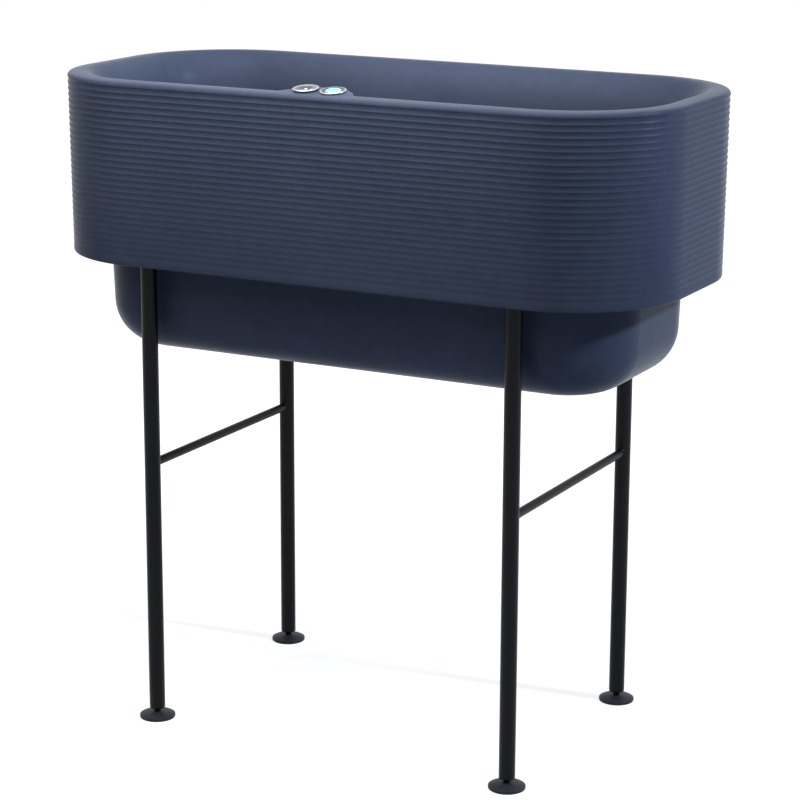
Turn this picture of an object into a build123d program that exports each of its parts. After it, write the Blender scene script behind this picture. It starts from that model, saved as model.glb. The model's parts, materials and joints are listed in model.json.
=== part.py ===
"""Pet bathtub: a ribbed, single-skin tub hung by its rim on four tubular legs.

Units are millimetres. X runs along the tub, Y across it with the control deck on the -Y side, Z up.
The origin is on the floor, under the middle of the tub.
"""

from build123d import *

import math
import os

os.makedirs("parts", exist_ok=True)

# ---------------------------------------------------------------- driving dimensions

# Tub
rim_height = 900.0  # floor to the crest of the rim
tub_length = 902.0
tub_width = 436.0
corner_radius = 160.0  # plan radius of the four outside corners
wall = 5.0  # moulded wall, everywhere
crest_inset = 20.0  # outside face to the crest of the rim
crown_radius = 90.0  # rim's top, falling gently outwards
shoulder_radius = 5.5  # crown into the outside face
rollover_radius = 33.0  # rim down into the basin
skirt_depth = 248.5  # crest of the rim to the lower edge of the skirt
skirt_lean = 3.0  # how far the skirt leans in at its lower edge
hem_edge = 1.6  # skirt's lower edge, broken outside and inside

# Ribs round the skirt: shallow flutes with sharp edges between them, fainter towards the bottom
rib_count = 28
rib_pitch = 8.3
rib_depth_top = 1.0
rib_depth_bottom = 0.25

# Basin
basin_depth = 376.0  # crest of the rim to the basin floor
basin_draft = 2.05  # degrees
basin_fillet = 58.0  # inside, wall to basin floor

# Control deck: a flat that carries on from the crown, over the roll-over, and down the wall
deck_tilt = 7.5  # degrees, falling outwards
deck_inner_inset = 58.0  # outside face of the tub to the deck's inner edge
deck_left = -68.0  # left end of the inner edge
deck_left_foot = -88.0  # where its left side leaves the rim
deck_right = 52.0
deck_toe = 16.0  # faint start of the deck, left of its left foot
deck_blend = 30.0  # hollow curve at the left foot
deck_corner = 20.0
deck_edge = 3.0
deck_depth = 215.0  # down to where the deck's face has run into the drafted basin wall
deck_sink = 0.2  # below the crown's tangent, so that deck and crown cross in a clean line

# Push buttons
button_spacing = 40.0
button_middle = -5.0
button_inset = 31.0  # outside face of the tub to their centres
bezel_diameter = 36.0
bezel_height = 2.4
bezel_edge = 1.0
barrel_diameter = 27.0
barrel_wall = 1.5
barrel_floor = 2.5
gasket_diameter = 33.0
gasket_thickness = {"left": 2.0, "right": 0.8}
button_nut_size = 32.0  # across flats
button_nut_height = 5.0
cap_height = 8.0
cap_proud = 0.8  # cap above its bezel
dish_radius = 34.0
dish_depth = 1.7
lens_diameter = 18.0
lens_depth = 1.6
button_travel = 3.5
switch_room = 12.0  # under a pressed cap, for its spring and switch

# Legs, and the lugs that hold them up under the rim
leg_inset_x = 178.0  # end of the tub to the legs' axes
leg_inset_y = 34.0  # long side of the tub to the legs' axes
leg_diameter = 22.0
leg_wall = 1.5
leg_end_edge = 1.0  # broken edge of a leg's lower end
crossbar_diameter = 12.0
crossbar_drop = 529.0  # crest of the rim to the crossbars' axes
boss_diameter = 20.0
boss_inset = 26.0  # outside face of the tub to the bosses' centres
boss_drop = 24.0  # crest of the rim to the lower faces of the bosses
boss_offset = 30.0  # leg's axis to its screw's, towards the middle of the tub
boss_bite = 0.2  # how far the bosses run into the rim
plate_length = 62.0
plate_end = 16.0  # leg's axis to the plate's outer end
plate_width = 31.0
plate_inset = 13.5  # outside face of the tub to the plates' outer edges
plate_thickness = 5.0
plate_corner = 5.0
screw_diameter = 8.0
screw_length = 15.0
screw_head_size = 13.0  # across flats
screw_head_height = 5.3
insert_size = 12.0  # across flats
insert_length = 12.0

# Adjustable feet
leg_end = 14.0  # floor to the lower end of a leg
bush_length = 24.0  # threaded plug welded into the lower end of a leg
stem_diameter = 10.0
stem_spare = 3.0  # thread above the bush with the foot let down
pad_diameter = 50.0
pad_edge_height = 5.0
pad_edge = 1.2  # broken edge of the pad's rim
pad_height = 9.0
pad_crown = 26.0  # diameter of the pad's flat top
pad_floor = 3.0  # under the stem
foot_travel = 12.0  # how far the feet screw down

# Waste
waste_x = -215.0
seat_diameter = 74.0
seat_depth = 4.0
flange_diameter = 68.0
flange_thickness = 3.0
waste_bore = 36.0
tail_diameter = 42.0
tail_run_out = 1.0  # thread below the nut
spigot_diameter = 40.0
spigot_length = 7.0  # below the thread
strainer_bar = 3.0
seal_diameter = 60.0
seal_thickness = 2.0
waste_nut_size = 58.0  # across flats
waste_nut_height = 6.0
plug_diameter = 46.0
plug_thickness = 3.0
plug_depth = 12.0
plug_knob_diameter = 12.0
plug_knob_height = 10.0

# Clearances
fit = 0.05  # between a round piece and the hole it goes in, each side
gap = 0.3  # between faces of pieces that move apart

# ---------------------------------------------------------------- worked out from them

half_length = tub_length / 2
half_width = tub_width / 2
straight_x = half_length - corner_radius  # middle of the tub to the centre of a corner
straight_y = half_width - corner_radius
crown_angle = math.asin((crest_inset - shoulder_radius) / (crown_radius - shoulder_radius))
shoulder_inset = shoulder_radius * (1 - math.sin(crown_angle))
shoulder_height = rim_height - crown_radius * (1 - math.cos(crown_angle))
first_rib = shoulder_height - shoulder_radius * math.cos(crown_angle)
skirt_bottom = rim_height - skirt_depth
lean = skirt_lean / (first_rib - skirt_bottom)
draft = math.radians(basin_draft)
roll_centre = rim_height - rollover_radius
basin_floor = rim_height - basin_depth
basin_underside = basin_floor - wall
fillet_centre = basin_floor + basin_fillet
inner_corner = corner_radius - crest_inset
tilt = math.radians(deck_tilt)
leg_x = half_length - leg_inset_x
leg_y = half_width - leg_inset_y
boss_face = rim_height - boss_drop
plate_face = boss_face - plate_thickness
crossbar_height = rim_height - crossbar_drop
stem_end = leg_end + bush_length + foot_travel + stem_spare
corners = {
    "front_left": (-1, -1),
    "front_right": (1, -1),
    "rear_left": (-1, 1),
    "rear_right": (1, 1),
}


def write(builder, name):
    """Labels a finished piece and writes its STEP file."""
    builder.part.label = name
    export_step(builder.part, f"parts/{name}.step")


# ---------------------------------------------------------------- tub shell
# The wall's section is drawn with its distance from a corner's centre across, and its height up.


def skirt_face(height, depth=0.0):
    """A point of the skirt's outside face, or of a flute's bottom, at a height."""
    return (corner_radius - lean * (first_rib - height) - depth, height)


def roll_end(offset):
    """Where the roll-over meets the drafted basin wall, that far behind the basin's inside."""
    radius = rollover_radius - offset
    return (inner_corner - radius * math.cos(draft), roll_centre + radius * math.sin(draft))


def fillet_ends(offset):
    """The ends of the fillet between basin wall and floor, that far behind the basin's inside."""
    radius = basin_fillet + offset
    drop = roll_end(0)[1] - fillet_centre
    centre = roll_end(0)[0] - drop * math.tan(draft) - basin_fillet / math.cos(draft)
    foot = (centre + radius * math.cos(draft), fillet_centre - radius * math.sin(draft))
    return foot, (centre, fillet_centre - radius)


def flutes():
    """The outside face: one shallow flute under another."""
    points = [skirt_face(first_rib)]
    for k in range(rib_count):
        depth = rib_depth_top + (rib_depth_bottom - rib_depth_top) * k / (rib_count - 1)
        points.append(skirt_face(first_rib - (k + 0.5) * rib_pitch, depth))
        points.append(skirt_face(first_rib - (k + 1) * rib_pitch))
    return points


def inside_face():
    """The basin's floor and inside, the roll-over, the crown and the shoulder."""
    foot, floor_edge = fillet_ends(0)
    crest = (inner_corner, rim_height)
    shoulder = (corner_radius - shoulder_inset, shoulder_height)
    Line((0, basin_floor), floor_edge)
    TangentArc(floor_edge, foot, tangent=(1, 0))
    Line(foot, roll_end(0))
    TangentArc(roll_end(0), crest, tangent=(math.sin(draft), math.cos(draft)))
    TangentArc(crest, shoulder, tangent=(1, 0))
    TangentArc(shoulder, skirt_face(first_rib), tangent=(math.cos(crown_angle), -math.sin(crown_angle)))


def under_face():
    """Inside of the skirt, underside of the rim, and outside of the basin wall down to its fillet."""
    hem = (skirt_face(skirt_bottom)[0] - wall, skirt_bottom)
    crest = (inner_corner, rim_height - wall)
    Polyline(hem, (corner_radius - wall, shoulder_height - wall), crest)
    TangentArc(crest, roll_end(wall), tangent=(-1, 0))
    Line(roll_end(wall), fillet_ends(wall)[0])
    return hem


def wall_section(plane):
    """Skirt, rim, basin wall and the edge of the basin floor."""
    foot, floor_edge = fillet_ends(wall)
    with BuildSketch(plane) as section:
        with BuildLine():
            inside_face()
            Polyline(*flutes(), skirt_face(skirt_bottom))
            Line(skirt_face(skirt_bottom), under_face())
            TangentArc(foot, floor_edge, tangent=(-math.sin(draft), -math.cos(draft)))
            Polyline(floor_edge, (0, basin_underside), (0, basin_floor))
        make_face()
        hem = section.vertices().filter_by_position(Axis.Y, skirt_bottom - gap, skirt_bottom + gap)
        chamfer(hem, length=hem_edge)
    return section.sketch


def under_section(plane):
    """The space between skirt and basin."""
    foot = fillet_ends(wall)[0]
    with BuildSketch(plane) as section:
        with BuildLine():
            hem = under_face()
            Polyline(foot, (hem[0], foot[1]), hem)
        make_face()
    return section.sketch


# The deck's plane lies along the crown where the crown has the deck's own slope.
deck_start = crest_inset - crown_radius * math.sin(tilt)
deck_plane = Plane(
    origin=(0, deck_start - half_width, rim_height - crown_radius * (1 - math.cos(tilt)) - deck_sink),
    x_dir=(1, 0, 0),
    z_dir=(0, -math.sin(tilt), math.cos(tilt)),
)
deck_reach = (deck_inner_inset - deck_start) / math.cos(tilt)
crest_line = (crest_inset - deck_start) / math.cos(tilt)
button_line = (button_inset - deck_start) / math.cos(tilt)
button_places = {
    "left": button_middle - button_spacing / 2,
    "right": button_middle + button_spacing / 2,
}


def deck_outline():
    """The deck seen square on: a faint toe, a hollow left foot and two round inner corners."""
    toe = deck_left_foot - deck_toe
    with BuildSketch(deck_plane) as outline:
        with BuildLine():
            FilletPolyline(
                (toe, crest_line / 2),
                (deck_left_foot, crest_line),
                (deck_left, deck_reach),
                (deck_right, deck_reach),
                (deck_right, 0),
                radius=[deck_blend, deck_corner, deck_corner],
            )
            Polyline((deck_right, 0), (toe, 0), (toe, crest_line / 2))
        make_face()
    return outline.sketch


def deck_hollow():
    """The room under the deck, a wall's thickness inside its outline."""
    run, rise = deck_left - deck_left_foot, deck_reach - crest_line
    slant = wall * math.hypot(run, rise) / rise
    edge = crest_line / 2
    foot = deck_left_foot + slant - (crest_line - edge) * run / rise
    top_left = deck_left + slant - wall * run / rise
    with BuildSketch(deck_plane.offset(-wall)) as hollow:
        with BuildLine():
            FilletPolyline(
                (foot, edge),
                (top_left, deck_reach - wall),
                (deck_right - wall, deck_reach - wall),
                (deck_right - wall, edge),
                radius=deck_corner - wall,
            )
            Line((deck_right - wall, edge), (foot, edge))
        make_face()
    return hollow.sketch


def button_plane(side, height=0.0):
    """The plane square to a button's axis, at a height above the deck."""
    return Plane(
        origin=deck_plane.from_local_coords((button_places[side], button_line, height)),
        x_dir=deck_plane.x_dir,
        z_dir=deck_plane.z_dir,
    )


boss_places = [(sx * (leg_x - boss_offset), sy * (half_width - boss_inset)) for sx, sy in corners.values()]

with BuildPart() as deck_block:
    extrude(deck_outline(), amount=deck_depth, dir=(0, 0, -1))
    top_edges = deck_block.faces().filter_by(deck_plane).sort_by(Axis.Z)[-1].edges()
    fillet(top_edges.sort_by(Axis.Y)[1:], radius=deck_edge)

with BuildPart() as tub_shell:
    # one quarter of the wall: half the front, one corner, half an end
    centre = (straight_x, -straight_y, 0)
    front_plane = Plane(origin=centre, x_dir=(0, -1, 0), z_dir=(-1, 0, 0))
    end_plane = Plane(origin=centre, x_dir=(1, 0, 0), z_dir=(0, -1, 0))
    front_section = wall_section(front_plane)
    extrude(front_section, amount=straight_x)
    revolve(front_section, axis=Axis(centre, (0, 0, 1)), revolution_arc=90)
    extrude(wall_section(end_plane), amount=-straight_y)
    with BuildSketch(Plane.XY.offset(basin_underside)):
        with Locations((straight_x / 2, -straight_y / 2)):
            Rectangle(straight_x, straight_y)
    extrude(amount=wall)
    mirror(about=Plane.YZ)
    mirror(about=Plane.XZ)

    # the control deck, opened from below
    add(deck_block.part)
    deck_ends = deck_right - deck_left_foot + 2 * deck_toe
    under_plane = Plane(
        origin=(deck_right + deck_toe / 2, -straight_y, 0), x_dir=(0, -1, 0), z_dir=(-1, 0, 0)
    )
    extrude(under_section(under_plane), amount=deck_ends, mode=Mode.SUBTRACT)
    extrude(deck_hollow(), amount=deck_depth, dir=(0, 0, -1), mode=Mode.SUBTRACT)
    for side in button_places:
        with BuildSketch(button_plane(side)):
            Circle(barrel_diameter / 2 + fit)
        extrude(amount=wall * 1.5, both=True, mode=Mode.SUBTRACT)

    # bosses for the leg plates' screws, each round a moulded-in insert
    with BuildSketch(Plane.XY.offset(boss_face)):
        with Locations(*boss_places):
            Circle(boss_diameter / 2)
    extrude(amount=rim_height - wall + boss_bite - boss_face)
    with BuildSketch(Plane.XY.offset(boss_face)):
        with Locations(*boss_places):
            RegularPolygon(insert_size / 2 + fit, 6, major_radius=False)
    extrude(amount=insert_length + fit, mode=Mode.SUBTRACT)

    # the sunk seat for the waste, and its hole
    with BuildSketch(Plane.XY.offset(basin_underside - seat_depth)):
        with Locations((waste_x, 0)):
            Circle(seat_diameter / 2 + wall)
    extrude(amount=seat_depth)
    with BuildSketch(Plane.XY.offset(basin_floor - seat_depth)):
        with Locations((waste_x, 0)):
            Circle(seat_diameter / 2)
    extrude(amount=seat_depth, mode=Mode.SUBTRACT)
    with BuildSketch(Plane.XY.offset(basin_underside - seat_depth)):
        with Locations((waste_x, 0)):
            Circle(tail_diameter / 2 + fit)
    extrude(amount=wall, mode=Mode.SUBTRACT)

write(tub_shell, "tub_shell")


# ---------------------------------------------------------------- push buttons

button_axis = Axis((0, 0, 0), deck_plane.z_dir)

for side, lift in gasket_thickness.items():
    with BuildPart() as gasket:
        with BuildSketch(button_plane(side)):
            Circle(gasket_diameter / 2)
            Circle(barrel_diameter / 2 + fit, mode=Mode.SUBTRACT)
        extrude(amount=lift)
    write(gasket, f"{side}_button_gasket")

    cap_top = lift + bezel_height + cap_proud
    barrel_end = cap_top - cap_height - button_travel - switch_room - barrel_floor
    with BuildPart() as body:
        with BuildSketch(button_plane(side, lift)):
            Circle(bezel_diameter / 2)
        extrude(amount=bezel_height)
        chamfer(body.edges().sort_by(button_axis)[-1], length=bezel_edge)
        with BuildSketch(button_plane(side, barrel_end)):
            Circle(barrel_diameter / 2)
        extrude(amount=lift - barrel_end)
        with BuildSketch(button_plane(side, barrel_end + barrel_floor)):
            Circle(barrel_diameter / 2 - barrel_wall)
        extrude(amount=lift + bezel_height - barrel_end, mode=Mode.SUBTRACT)
    write(body, f"{side}_button_body")

    with BuildPart() as cap:
        with BuildSketch(button_plane(side, cap_top - cap_height)):
            Circle(barrel_diameter / 2 - barrel_wall - fit)
        extrude(amount=cap_height)
        if side == "left":
            with Locations(button_plane(side, cap_top - dish_depth + dish_radius)):
                Sphere(dish_radius, mode=Mode.SUBTRACT)
        else:
            with BuildSketch(button_plane(side, cap_top - lens_depth)):
                Circle(lens_diameter / 2 + fit)
            extrude(amount=lens_depth, mode=Mode.SUBTRACT)
    write(cap, f"{side}_button_cap")

    with BuildPart() as nut:
        with BuildSketch(button_plane(side, -wall)):
            RegularPolygon(button_nut_size / 2, 6, major_radius=False)
            Circle(barrel_diameter / 2 + fit, mode=Mode.SUBTRACT)
        extrude(amount=-button_nut_height)
    write(nut, f"{side}_button_nut")

with BuildPart() as lens:
    lens_top = gasket_thickness["right"] + bezel_height + cap_proud
    with BuildSketch(button_plane("right", lens_top - lens_depth)):
        Circle(lens_diameter / 2)
    extrude(amount=lens_depth)
write(lens, "right_button_lens")


# ---------------------------------------------------------------- legs

for corner, (sx, sy) in corners.items():
    foot_x, foot_y = sx * leg_x, sy * leg_y

    with BuildPart() as leg:
        with BuildSketch(Plane((foot_x, foot_y, leg_end))):
            Circle(leg_diameter / 2)
            Circle(stem_diameter / 2 + fit, mode=Mode.SUBTRACT)
        extrude(amount=plate_face - leg_end)
        chamfer(leg.faces().sort_by(Axis.Z)[0].outer_wire().edges(), length=leg_end_edge)
        with BuildSketch(Plane((foot_x, foot_y, leg_end + bush_length))):
            Circle(leg_diameter / 2 - leg_wall)
        extrude(amount=plate_face - leg_end - bush_length, mode=Mode.SUBTRACT)
    write(leg, f"{corner}_leg")

    with BuildPart() as plate:
        with BuildSketch(Plane.XY.offset(plate_face)):
            plate_x = leg_x + plate_end - plate_length / 2
            plate_y = half_width - plate_inset - plate_width / 2
            with Locations((sx * plate_x, sy * plate_y)):
                RectangleRounded(plate_length, plate_width, plate_corner)
            with Locations((sx * (leg_x - boss_offset), sy * (half_width - boss_inset))):
                Circle(screw_diameter / 2 + gap, mode=Mode.SUBTRACT)
        extrude(amount=plate_thickness)
    write(plate, f"{corner}_plate")

    with BuildPart() as stem:
        with BuildSketch(Plane((foot_x, foot_y, pad_floor + gap))):
            Circle(stem_diameter / 2)
        extrude(amount=stem_end - pad_floor - gap)
    write(stem, f"{corner}_foot_stem")

    with BuildPart() as pad:
        with BuildSketch(Plane(origin=(foot_x, foot_y, 0), x_dir=(1, 0, 0), z_dir=(0, -1, 0))) as half:
            with BuildLine():
                socket = stem_diameter / 2 + fit
                Polyline(
                    (0, 0),
                    (pad_diameter / 2, 0),
                    (pad_diameter / 2, pad_edge_height),
                    (pad_crown / 2, pad_height),
                    (socket, pad_height),
                    (socket, pad_floor),
                    (0, pad_floor),
                    close=True,
                )
            make_face()
            chamfer(half.vertices().group_by(Axis.X)[-1].sort_by(Axis.Y)[-1], length=pad_edge)
        revolve(axis=Axis((foot_x, foot_y, 0), (0, 0, 1)))
    write(pad, f"{corner}_foot_pad")

for side, sx in {"left": -1, "right": 1}.items():
    with BuildPart() as bar:
        with BuildSketch(Plane(origin=(sx * leg_x, 0, crossbar_height), z_dir=(0, 1, 0))):
            Circle(crossbar_diameter / 2)
        extrude(amount=leg_y, both=True)
        with BuildSketch(Plane.XY.offset(crossbar_height - leg_diameter)):
            with Locations((sx * leg_x, -leg_y), (sx * leg_x, leg_y)):
                Circle(leg_diameter / 2 + fit)
        extrude(amount=2 * leg_diameter, mode=Mode.SUBTRACT)
    write(bar, f"{side}_crossbar")

with BuildPart() as screws:
    with BuildSketch(Plane.XY.offset(plate_face)):
        with Locations(*boss_places):
            RegularPolygon(screw_head_size / 2, 6, major_radius=False)
    extrude(amount=-screw_head_height)
    with BuildSketch(Plane.XY.offset(plate_face)):
        with Locations(*boss_places):
            Circle(screw_diameter / 2)
    extrude(amount=screw_length)
write(screws, "leg_screws")

with BuildPart() as inserts:
    with BuildSketch(Plane.XY.offset(boss_face)):
        with Locations(*boss_places):
            RegularPolygon(insert_size / 2, 6, major_radius=False)
            Circle(screw_diameter / 2 + fit, mode=Mode.SUBTRACT)
    extrude(amount=insert_length)
write(inserts, "leg_inserts")


# ---------------------------------------------------------------- waste

flange_face = basin_floor - seat_depth + flange_thickness
seat_underside = basin_underside - seat_depth
thread_end = seat_underside - seal_thickness - waste_nut_height - tail_run_out
spigot_end = thread_end - spigot_length

with BuildPart() as waste:
    with BuildSketch(Plane((waste_x, 0, flange_face))):
        Circle(flange_diameter / 2)
    extrude(amount=-flange_thickness)
    with BuildSketch(Plane((waste_x, 0, thread_end))):
        Circle(tail_diameter / 2)
    extrude(amount=flange_face - flange_thickness - thread_end)
    with BuildSketch(Plane((waste_x, 0, spigot_end))):
        Circle(spigot_diameter / 2)
    extrude(amount=spigot_length)
    with BuildSketch(Plane((waste_x, 0, spigot_end))):
        Circle(waste_bore / 2)
    extrude(amount=flange_face - spigot_end, mode=Mode.SUBTRACT)
    with BuildSketch(Plane((waste_x, 0, thread_end))):
        Rectangle(waste_bore + strainer_bar, strainer_bar)
        Rectangle(strainer_bar, waste_bore + strainer_bar)
    extrude(amount=strainer_bar)
write(waste, "waste_flange")

with BuildPart() as seal:
    with BuildSketch(Plane((waste_x, 0, seat_underside))):
        Circle(seal_diameter / 2)
        Circle(tail_diameter / 2 + fit, mode=Mode.SUBTRACT)
    extrude(amount=-seal_thickness)
write(seal, "waste_seal")

with BuildPart() as waste_nut:
    with BuildSketch(Plane((waste_x, 0, seat_underside - seal_thickness))):
        RegularPolygon(waste_nut_size / 2, 6, major_radius=False)
        Circle(tail_diameter / 2 + fit, mode=Mode.SUBTRACT)
    extrude(amount=-waste_nut_height)
write(waste_nut, "waste_nut")

with BuildPart() as plug:
    plug_face = flange_face + gap
    with BuildSketch(Plane(origin=(waste_x, 0, plug_face), x_dir=(1, 0, 0), z_dir=(0, -1, 0))):
        with BuildLine():
            Polyline(
                (0, -plug_depth),
                (waste_bore / 2 - 2 * gap, -plug_depth),
                (waste_bore / 2 - gap, 0),
                (plug_diameter / 2, 0),
                (plug_diameter / 2, plug_thickness),
                (plug_knob_diameter / 2, plug_thickness),
                (plug_knob_diameter / 2, plug_thickness + plug_knob_height),
                (0, plug_thickness + plug_knob_height),
                close=True,
            )
        make_face()
    revolve(axis=Axis((waste_x, 0, 0), (0, 0, 1)))
write(plug, "waste_plug")
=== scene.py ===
import json
import math

import bmesh
import bpy
from mathutils import Matrix, Vector


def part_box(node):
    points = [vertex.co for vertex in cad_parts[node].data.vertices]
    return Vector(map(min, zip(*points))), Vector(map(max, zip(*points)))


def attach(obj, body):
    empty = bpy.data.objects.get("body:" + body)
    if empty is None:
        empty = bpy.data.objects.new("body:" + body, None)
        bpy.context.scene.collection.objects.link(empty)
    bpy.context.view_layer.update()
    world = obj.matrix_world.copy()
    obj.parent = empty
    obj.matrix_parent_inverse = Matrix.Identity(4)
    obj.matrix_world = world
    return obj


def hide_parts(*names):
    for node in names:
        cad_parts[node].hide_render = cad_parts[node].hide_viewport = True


# Pet bathtub: a ribbed, rolled-rim tub hung on four tube legs. All sizes are in metres.

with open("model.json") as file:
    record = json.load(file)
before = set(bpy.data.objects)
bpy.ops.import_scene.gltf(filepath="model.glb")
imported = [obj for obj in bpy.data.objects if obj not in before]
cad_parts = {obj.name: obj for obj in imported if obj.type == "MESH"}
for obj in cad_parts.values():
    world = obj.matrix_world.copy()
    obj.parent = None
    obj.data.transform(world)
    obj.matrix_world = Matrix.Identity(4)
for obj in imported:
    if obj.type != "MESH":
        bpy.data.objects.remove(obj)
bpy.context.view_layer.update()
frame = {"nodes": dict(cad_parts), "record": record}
scene = bpy.context.scene
corners = ("front_left", "front_right", "rear_left", "rear_right")
upright = Vector((0, 0, 1))


# small helpers for node trees

class Wire:  # a node's output socket that takes plain arithmetic
    def __init__(self, tree, socket):
        self.tree, self.socket = tree, socket

    def join(self, operation, *values):
        return self.tree.node("ShaderNodeMath", {"operation": operation}, dict(enumerate(values)))

    def __add__(self, other):
        return self.join("ADD", self, other)

    def __sub__(self, other):
        return self.join("SUBTRACT", self, other)

    def __rsub__(self, other):
        return self.join("SUBTRACT", other, self)

    def __mul__(self, other):
        return self.join("MULTIPLY", self, other)

    def __truediv__(self, other):
        return self.join("DIVIDE", self, other)

    def __pow__(self, other):
        return self.join("POWER", self, other)


class Tree:  # a shader or geometry tree; node() adds a node, sets it and joins it up
    def __init__(self, tree):
        self.tree = tree
        tree.nodes.clear()

    def node(self, kind, settings=None, sockets=None, out=0):
        made = self.tree.nodes.new(kind)
        for key, value in (settings or {}).items():
            if key == "stops":
                while len(made.color_ramp.elements) < len(value):
                    made.color_ramp.elements.new(0.5)
                for stop, (place, shade) in zip(made.color_ramp.elements, value):
                    stop.position, stop.color = place, (*shade, 1)
            else:
                setattr(made, key, value)
        for key, value in (sockets or {}).items():
            if isinstance(value, Wire):
                self.tree.links.new(value.socket, made.inputs[key])
            elif isinstance(value, (list, tuple)) and len(value) and isinstance(value[0], Wire):
                for wire in value:
                    self.tree.links.new(wire.socket, made.inputs[key])
            else:
                made.inputs[key].default_value = value
        return Wire(self, made.outputs[out]) if len(made.outputs) else made


# finishes

def newFinish(name):
    material = bpy.data.materials.new(name)
    material.use_nodes = True
    tree = Tree(material.node_tree)
    tree.material = material
    return tree


def mixColour(tree, factor, *colours):
    first, second = (c + (1,) if isinstance(c, tuple) else c for c in colours)
    return tree.node("ShaderNodeMix", {"data_type": "RGBA"},
                     {"Factor": factor, 6: first, 7: second}, out=2)


def vectorMath(tree, operation, first, second=None, out="Value"):
    sockets = {0: first} if second is None else {0: first, 1: second}
    return tree.node("ShaderNodeVectorMath", {"operation": operation}, sockets, out)


def ramp(tree, factor, low, high):  # 0 below low, 1 above high
    return tree.node("ShaderNodeMapRange", {"interpolation_type": "SMOOTHSTEP"},
                     {"Value": factor, "From Min": low, "From Max": high})


def lowDown(tree, place, low, high):  # 1 below the height low, 0 above high
    return 1 - ramp(tree, tree.node("ShaderNodeSeparateXYZ", None, {0: place}, out="Z"), low, high)


def objectPlace(tree, centre=(0, 0, 0), scale=(1, 1, 1), turn=(0, 0, 0)):
    place = tree.node("ShaderNodeTexCoord", out="Object")
    moved = vectorMath(tree, "ADD", place, tuple(-c for c in centre), "Vector")
    return tree.node("ShaderNodeMapping", None, {"Vector": moved, "Scale": scale, "Rotation": turn})


def noise(tree, place, scale, detail=2.0, rough=0.5):
    return tree.node("ShaderNodeTexNoise", None,
                     {"Vector": place, "Scale": scale, "Detail": detail, "Roughness": rough})


def finishWith(tree, colour, roughness, bumps, metallic=0.0, specular=0.5, glow=0.0):
    sockets = {"Base Color": colour, "Roughness": roughness, "Metallic": metallic,
               "Specular IOR Level": specular, "Emission Strength": glow}
    if glow:
        sockets["Emission Color"] = colour
    normal = {}
    for height, distance in bumps:  # each bump lies on the one before
        normal = {"Normal": tree.node("ShaderNodeBump", None, {
            "Height": height, "Distance": distance, "Strength": 1.0, **normal})}
    shader = tree.node("ShaderNodeBsdfPrincipled", None, {**sockets, **normal})
    tree.node("ShaderNodeOutputMaterial", None, {"Surface": shader})
    return tree.material


mouldedSlate = {
    "colour": (0.0536, 0.0673, 0.1112),
    "paler": (0.0661, 0.0821, 0.1300),
    "scuff": (0.095, 0.108, 0.145),
    "roughness": 0.31,
    "specular": 0.03,
    "grain": 0.000035,  # height of the fine orange-peel grain
    "mottle": 0.00008,
    "wave": 0.00035,  # height of the slow unevenness of a rotational moulding
    "scuffHeight": 0.66,  # scuffs show most below this height
    "scuffFade": 0.03,
}


def makeMouldedSlate():
    look = mouldedSlate
    tree = newFinish("mouldedSlate")
    place = objectPlace(tree)
    cloud = noise(tree, place, 5.0, 3.0, 0.55)
    mottle = noise(tree, place, 60.0, 4.0, 0.6)
    grain = noise(tree, place, 900.0, 3.0, 0.6)
    pits = tree.node("ShaderNodeTexVoronoi", {"feature": "F1"}, {"Vector": place, "Scale": 420.0})
    blend = ramp(tree, cloud * 0.55 + mottle * 0.35 + grain * 0.10, 0.35, 0.65)
    colour = mixColour(tree, blend, look["colour"], look["paler"])
    # faint rubbed streaks, strongest on the lower basin
    streakPlace = objectPlace(tree, scale=(6, 6, 38), turn=(0, 0.5, 0))
    streak = ramp(tree, noise(tree, streakPlace, 3.0, 6.0, 0.7), 0.62, 0.74)
    patch = ramp(tree, noise(tree, place, 7.0, 2.0), 0.50, 0.62)
    low = lowDown(tree, place, look["scuffHeight"] - look["scuffFade"], look["scuffHeight"])
    rub = streak * patch * (low * 0.30 + 0.07)
    colour = mixColour(tree, rub, colour, look["scuff"])
    roughness = mottle * 0.10 + grain * 0.06 + rub * 0.25 + (look["roughness"] - 0.08)
    bumps = ((noise(tree, place, 9.0, 2.0, 0.4), look["wave"]), (mottle, look["mottle"]),
             (grain + pits * 0.5, look["grain"]))
    return finishWith(tree, colour, roughness, bumps, specular=look["specular"])


powderCoat = {
    "colour": (0.0050, 0.0052, 0.0068),
    "worn": (0.030, 0.031, 0.034),
    "roughness": 0.34,
    "specular": 0.12,
}


def makePowderCoat():
    look = powderCoat
    tree = newFinish("powderCoat")
    place = objectPlace(tree)
    peel = noise(tree, place, 520.0, 3.0, 0.55)
    cloud = noise(tree, place, 26.0, 4.0, 0.6)
    nick = ramp(tree, noise(tree, objectPlace(tree, scale=(1, 1, 0.16)), 240.0, 5.0, 0.75), 0.70, 0.76)
    wear = nick * (lowDown(tree, place, 0.02, 0.22) * 0.6 + 0.12)
    colour = mixColour(tree, wear, look["colour"], look["worn"])
    roughness = cloud * 0.12 + peel * 0.06 + (look["roughness"] - 0.08) + wear * 0.2
    return finishWith(tree, colour, roughness, ((peel, 0.00004), (cloud, 0.00006)),
                      specular=look["specular"])


footPlastic = {
    "colour": (0.034, 0.036, 0.045),
    "dust": (0.075, 0.078, 0.088),
    "roughness": 0.42,
    "specular": 0.15,
}


def makeFootPlastic():
    look = footPlastic
    tree = newFinish("footPlastic")
    place = objectPlace(tree)
    grain = noise(tree, place, 1100.0, 3.0, 0.6)
    cloud = noise(tree, place, 70.0, 3.0, 0.6)
    dust = ramp(tree, cloud, 0.45, 0.70) * (lowDown(tree, place, 0.0, 0.006) * 0.35 + 0.08)
    colour = mixColour(tree, dust, look["colour"], look["dust"])
    roughness = grain * 0.10 + dust * 0.3 + (look["roughness"] - 0.05)
    return finishWith(tree, colour, roughness, ((grain, 0.00003), (cloud, 0.00005)),
                      specular=look["specular"])


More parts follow.
